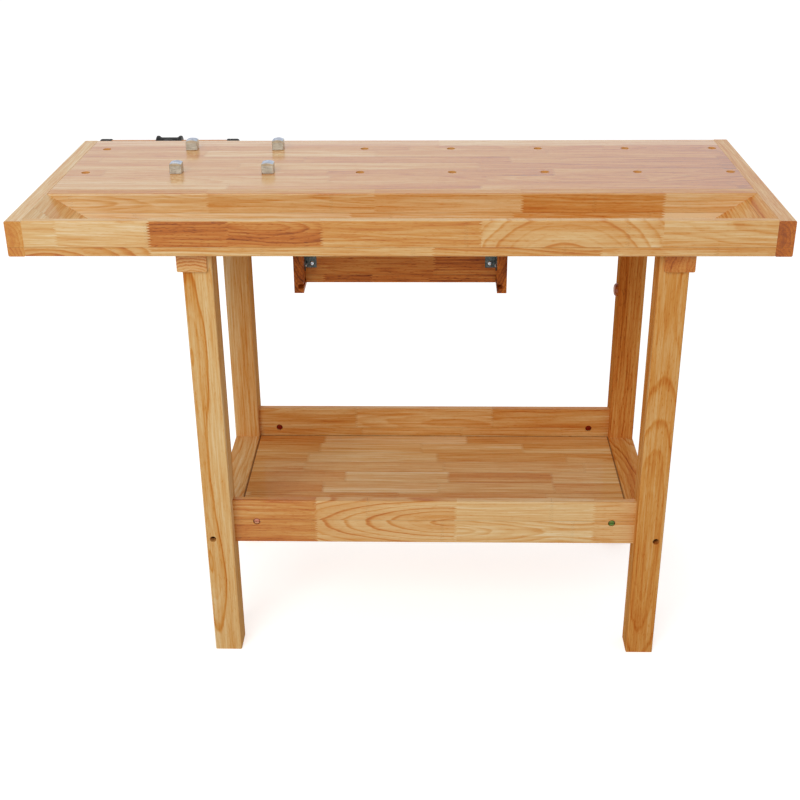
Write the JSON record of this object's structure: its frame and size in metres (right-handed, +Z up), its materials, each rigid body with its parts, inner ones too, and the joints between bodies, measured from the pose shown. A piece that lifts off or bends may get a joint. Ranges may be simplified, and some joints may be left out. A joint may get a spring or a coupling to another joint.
{
  "type": "woodworking bench",
  "caption": "Free-standing joiner's bench: dog-holed wooden top with tool tray, drawer, screw vise on one long side and a leg frame with a low shelf.",
  "frame": {"origin": "on the floor, in the middle of the bench's overall box at rest, the vise bar included", "axes": "+X along the bench to the right as seen from the tray side, +Y from the tray side to the vise and drawer side, +Z up"},
  "size_m": [1.27, 0.649, 0.884],
  "materials": {
    "surface_wood": "lacquered finger-jointed rubberwood staves",
    "rail_wood": "lacquered rubberwood, long grain",
    "cap_wood": "lacquered rubberwood with end grain at its ends",
    "leg_wood": "lacquered rubberwood, edges rounded over",
    "shelf_wood": "thin lacquered rubberwood panel",
    "tray_wood": "thin lacquered panel",
    "drawer_wood": "lacquered boards",
    "dowel_wood": "bare beech",
    "handle_wood": "turned and lacquered",
    "zinc_steel": "zinc plated",
    "dog_steel": "bright nickel plated",
    "rod_steel": "turned, lightly oiled",
    "black_iron": "satin black paint on castings"
  },
  "bodies": {
    "bench": {"work_surface": "surface_wood", "front_edge_rail": "rail_wood", "tray_side_rail": "rail_wood", "end_cap_left": "cap_wood", "end_cap_right": "cap_wood", "end_cap_dowels": "dowel_wood", "tray_apron": "rail_wood", "tray_floor": "tray_wood", "tray_ramp_left": "tray_wood", "tray_ramp_right": "tray_wood", "leg_tray_side_left": "leg_wood", "leg_tray_side_right": "leg_wood", "leg_vise_side_left": "leg_wood", "leg_vise_side_right": "leg_wood", "bearer_left": "leg_wood", "bearer_right": "leg_wood", "side_rail_left": "leg_wood", "side_rail_right": "leg_wood", "long_rail_tray_side": "rail_wood", "long_rail_vise_side": "rail_wood", "top_screws": "zinc_steel", "long_rail_bolts": "zinc_steel", "barrel_nuts": "zinc_steel", "side_rail_bolts": "zinc_steel", "leg_dowels": "dowel_wood", "leg_button": "dowel_wood", "shelf_panel": "shelf_wood", "shelf_cleat_tray_side": "dowel_wood", "shelf_cleat_vise_side": "dowel_wood", "drawer_runner_left": "drawer_wood", "drawer_runner_right": "drawer_wood", "drawer_stop_board": "drawer_wood", "corner_brackets": "zinc_steel", "runner_hangers": "zinc_steel", "bracket_screws": "zinc_steel", "vise_nut_plate": "black_iron", "nut_plate_screws": "zinc_steel", "guide_bushes": "rod_steel"},
    "drawer": {"drawer_bottom": "drawer_wood", "drawer_side_left": "drawer_wood", "drawer_side_right": "drawer_wood", "drawer_back": "drawer_wood", "drawer_front": "drawer_wood", "drawer_knob": "handle_wood"},
    "vise_slider": {"vise_jaw": "rail_wood", "vise_front_plate": "black_iron", "vise_tie_plate": "black_iron", "guide_rods": "rod_steel", "front_plate_screws": "zinc_steel"},
    "vise_spindle": {"vise_screw": "rod_steel", "screw_clip": "zinc_steel", "vise_hub": "black_iron"},
    "vise_bar": {"vise_handle": "handle_wood", "handle_caps": "black_iron"},
    "dog_vise_side_left": {"bench_dog_vise_side_left": "dog_steel"},
    "dog_vise_side_right": {"bench_dog_vise_side_right": "dog_steel"},
    "dog_tray_side_left": {"bench_dog_tray_side_left": "dog_steel"},
    "dog_tray_side_right": {"bench_dog_tray_side_right": "dog_steel"}
  },
  "joints": [
    {"name": "vise_slide", "type": "slide", "parent": "bench", "child": "vise_slider", "axis": [0, 1, 0], "range_m": [0, 0.15]},
    {"name": "vise_screw_turn", "type": "hinge", "parent": "vise_slider", "child": "vise_spindle", "pos_m": [-0.488, 0.3035, 0.826], "axis": [0, 1, 0], "range_deg": [0, 10801]},
    {"name": "vise_bar_slide", "type": "slide", "parent": "vise_spindle", "child": "vise_bar", "axis": [1, 0, 0], "range_m": [-0.0937, 0.0937]},
    {"name": "drawer_slide", "type": "slide", "parent": "bench", "child": "drawer", "axis": [0, 1, 0], "range_m": [0, 0.25]},
    {"name": "dog_vise_side_left_lift", "type": "slide", "parent": "bench", "child": "dog_vise_side_left", "axis": [0, 0, 1], "range_m": [0, 0.05]},
    {"name": "dog_vise_side_right_lift", "type": "slide", "parent": "bench", "child": "dog_vise_side_right", "axis": [0, 0, 1], "range_m": [0, 0.05]},
    {"name": "dog_tray_side_left_lift", "type": "slide", "parent": "bench", "child": "dog_tray_side_left", "axis": [0, 0, 1], "range_m": [0, 0.05]},
    {"name": "dog_tray_side_right_lift", "type": "slide", "parent": "bench", "child": "dog_tray_side_right", "axis": [0, 0, 1], "range_m": [0, 0.05]}
  ],
  "couplings": [
    {"joint": "vise_screw_turn", "follows": "vise_slide", "rad_per_m": 1256.6}
  ]
}
